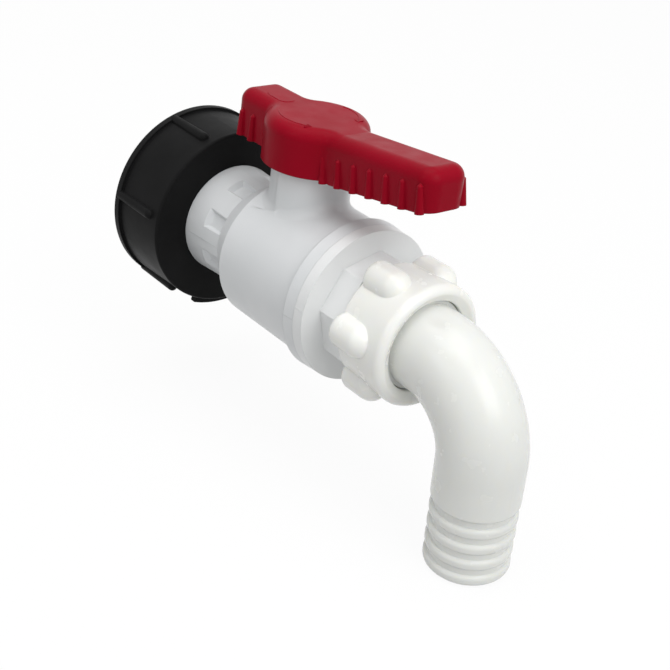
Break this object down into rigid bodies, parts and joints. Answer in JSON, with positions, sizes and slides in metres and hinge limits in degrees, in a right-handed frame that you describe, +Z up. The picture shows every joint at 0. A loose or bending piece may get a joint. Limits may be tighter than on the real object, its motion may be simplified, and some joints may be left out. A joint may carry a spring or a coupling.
{
  "type": "ibc tank valve",
  "caption": "Quarter-turn plastic ball valve with a coarse-thread tank adapter, lever handle, union nut and bent beaded hose tail.",
  "frame": {"origin": "centre of the adapter's mouth, on the pipe axis", "axes": "+X along the pipe axis, the way the liquid runs, away from the tank; +Z up along the valve stem"},
  "size_m": [0.2016, 0.079, 0.1417],
  "materials": {
    "black_moulding": "satin moulded polypropylene",
    "white_moulding": "satin moulded polypropylene",
    "connector_moulding": "satin moulded polypropylene",
    "red_moulding": "satin moulded plastic",
    "natural_moulding": "natural polyamide, slightly translucent",
    "ball_plastic": "smooth polypropylene",
    "seat_white": "fluoropolymer",
    "seal_black": "elastomer"
  },
  "bodies": {
    "housing": {"ibc_adapter": "black_moulding", "adapter_gasket": "seal_black", "inlet_o_ring": "seal_black", "valve_body": "white_moulding", "end_connector": "connector_moulding", "body_o_ring": "seal_black", "seat_ring_rear": "seat_white", "seat_o_ring_rear": "seal_black", "seat_ring_front": "seat_white", "seat_o_ring_front": "seal_black", "stem_washer": "seat_white"},
    "spindle": {"handle": "red_moulding", "stem": "white_moulding", "ball": "ball_plastic", "stem_o_ring_lower": "seal_black", "stem_o_ring_upper": "seal_black"},
    "tail": {"tail_washer": "seal_black"},
    "nut": {"swivel_nut": "natural_moulding"},
    "elbow": {"hose_elbow": "natural_moulding"}
  },
  "joints": [
    {"name": "handle_turn", "type": "hinge", "parent": "housing", "child": "spindle", "pos_m": [0.077, 0, 0.05], "axis": [0, 0, -1], "range_deg": [0, 90]},
    {"name": "tail_travel", "type": "slide", "parent": "housing", "child": "tail", "axis": [1, 0, 0], "range_m": [0, 0.00923]},
    {"name": "nut_turn", "type": "hinge", "parent": "tail", "child": "nut", "pos_m": [0.139, 0, 0], "axis": [1, 0, 0], "range_deg": [0, 1440]},
    {"name": "elbow_swivel", "type": "hinge", "parent": "tail", "child": "elbow", "pos_m": [0.1436, 0, 0], "axis": [1, 0, 0], "continuous": true}
  ],
  "couplings": [
    {"joint": "nut_turn", "follows": "tail_travel", "rad_per_m": 2721.2}
  ]
}
